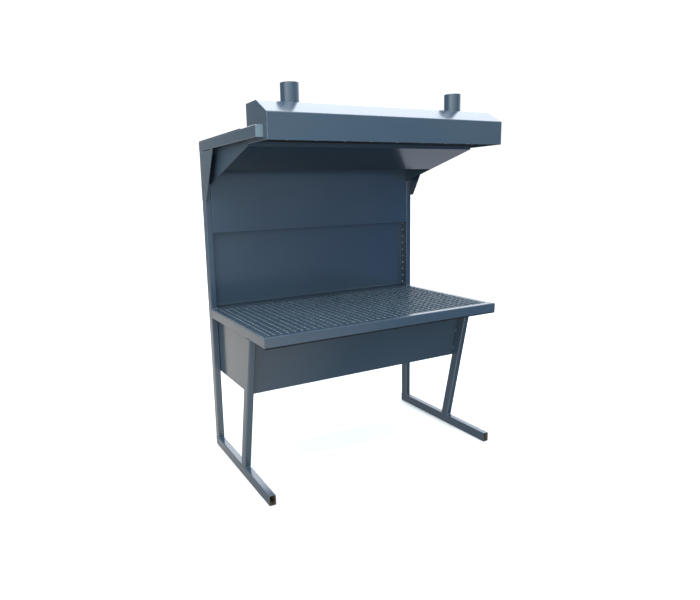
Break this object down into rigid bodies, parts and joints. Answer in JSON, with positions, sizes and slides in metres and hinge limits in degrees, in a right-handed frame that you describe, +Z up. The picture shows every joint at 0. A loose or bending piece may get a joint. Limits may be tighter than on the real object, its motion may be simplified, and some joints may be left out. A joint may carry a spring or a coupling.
{
  "type": "downdraft table",
  "caption": "Steel downdraft welding table: tube side frames carry a strip grating over a suction hopper, a slotted back wall and an overhead hood with duct spigots.",
  "frame": {"origin": "on the floor, under the middle of the outline", "axes": "+X to the right along the table, +Y from the front to the back wall, +Z up"},
  "size_m": [1.6, 0.982, 2.232],
  "materials": {
    "frame_paint": "glossy dark grey-blue enamel on steel tube",
    "sheet_paint": "glossy dark grey-blue enamel on sheet steel",
    "grating_paint": "glossy dark grey-blue enamel on flat bar",
    "duct_paint": "glossy dark grey-blue enamel on thin tube",
    "rivet_metal": "dull aluminium rivet heads"
  },
  "bodies": {
    "frame": {"foot_rail_left": "frame_paint", "upright_left": "frame_paint", "roof_arm_left": "frame_paint", "arm_cap_left": "frame_paint", "front_leg_left": "frame_paint", "arm_gusset_left": "frame_paint", "foot_rail_right": "frame_paint", "upright_right": "frame_paint", "roof_arm_right": "frame_paint", "arm_cap_right": "frame_paint", "front_leg_right": "frame_paint", "arm_gusset_right": "frame_paint", "table_rail_front": "frame_paint", "grating_ledge_front": "frame_paint", "table_rail_rear": "frame_paint", "grating_ledge_rear": "frame_paint", "table_rail_left": "frame_paint", "grating_ledge_left": "frame_paint", "table_rail_right": "frame_paint", "grating_ledge_right": "frame_paint", "grating_bearer": "frame_paint", "hopper_side_left": "sheet_paint", "hood_cheek_left": "sheet_paint", "hood_end_left": "sheet_paint", "duct_spigot_left": "duct_paint", "hopper_side_right": "sheet_paint", "hood_cheek_right": "sheet_paint", "hood_end_right": "sheet_paint", "duct_spigot_right": "duct_paint", "hopper_front": "sheet_paint", "hopper_floor": "sheet_paint", "hopper_deck": "sheet_paint", "hopper_rear": "sheet_paint", "back_sill": "sheet_paint", "lower_back_panel": "sheet_paint", "rear_cover_panel": "sheet_paint", "upper_back_panel": "sheet_paint", "hood_baffle": "sheet_paint", "hood_roof": "sheet_paint", "hood_shell": "sheet_paint", "hood_bottom": "sheet_paint", "hood_rear_panel": "sheet_paint", "hopper_outlet": "duct_paint", "back_panel_rivets": "rivet_metal", "roof_rivets": "rivet_metal", "outlet_rivets": "rivet_metal"},
    "grating_left": {"grating_left": "grating_paint"},
    "grating_right": {"grating_right": "grating_paint"}
  },
  "joints": [
    {"name": "grating_left_lift", "type": "slide", "parent": "frame", "child": "grating_left", "axis": [0, 0, 1], "range_m": [0, 0.25]},
    {"name": "grating_right_lift", "type": "slide", "parent": "frame", "child": "grating_right", "axis": [0, 0, 1], "range_m": [0, 0.25]}
  ]
}
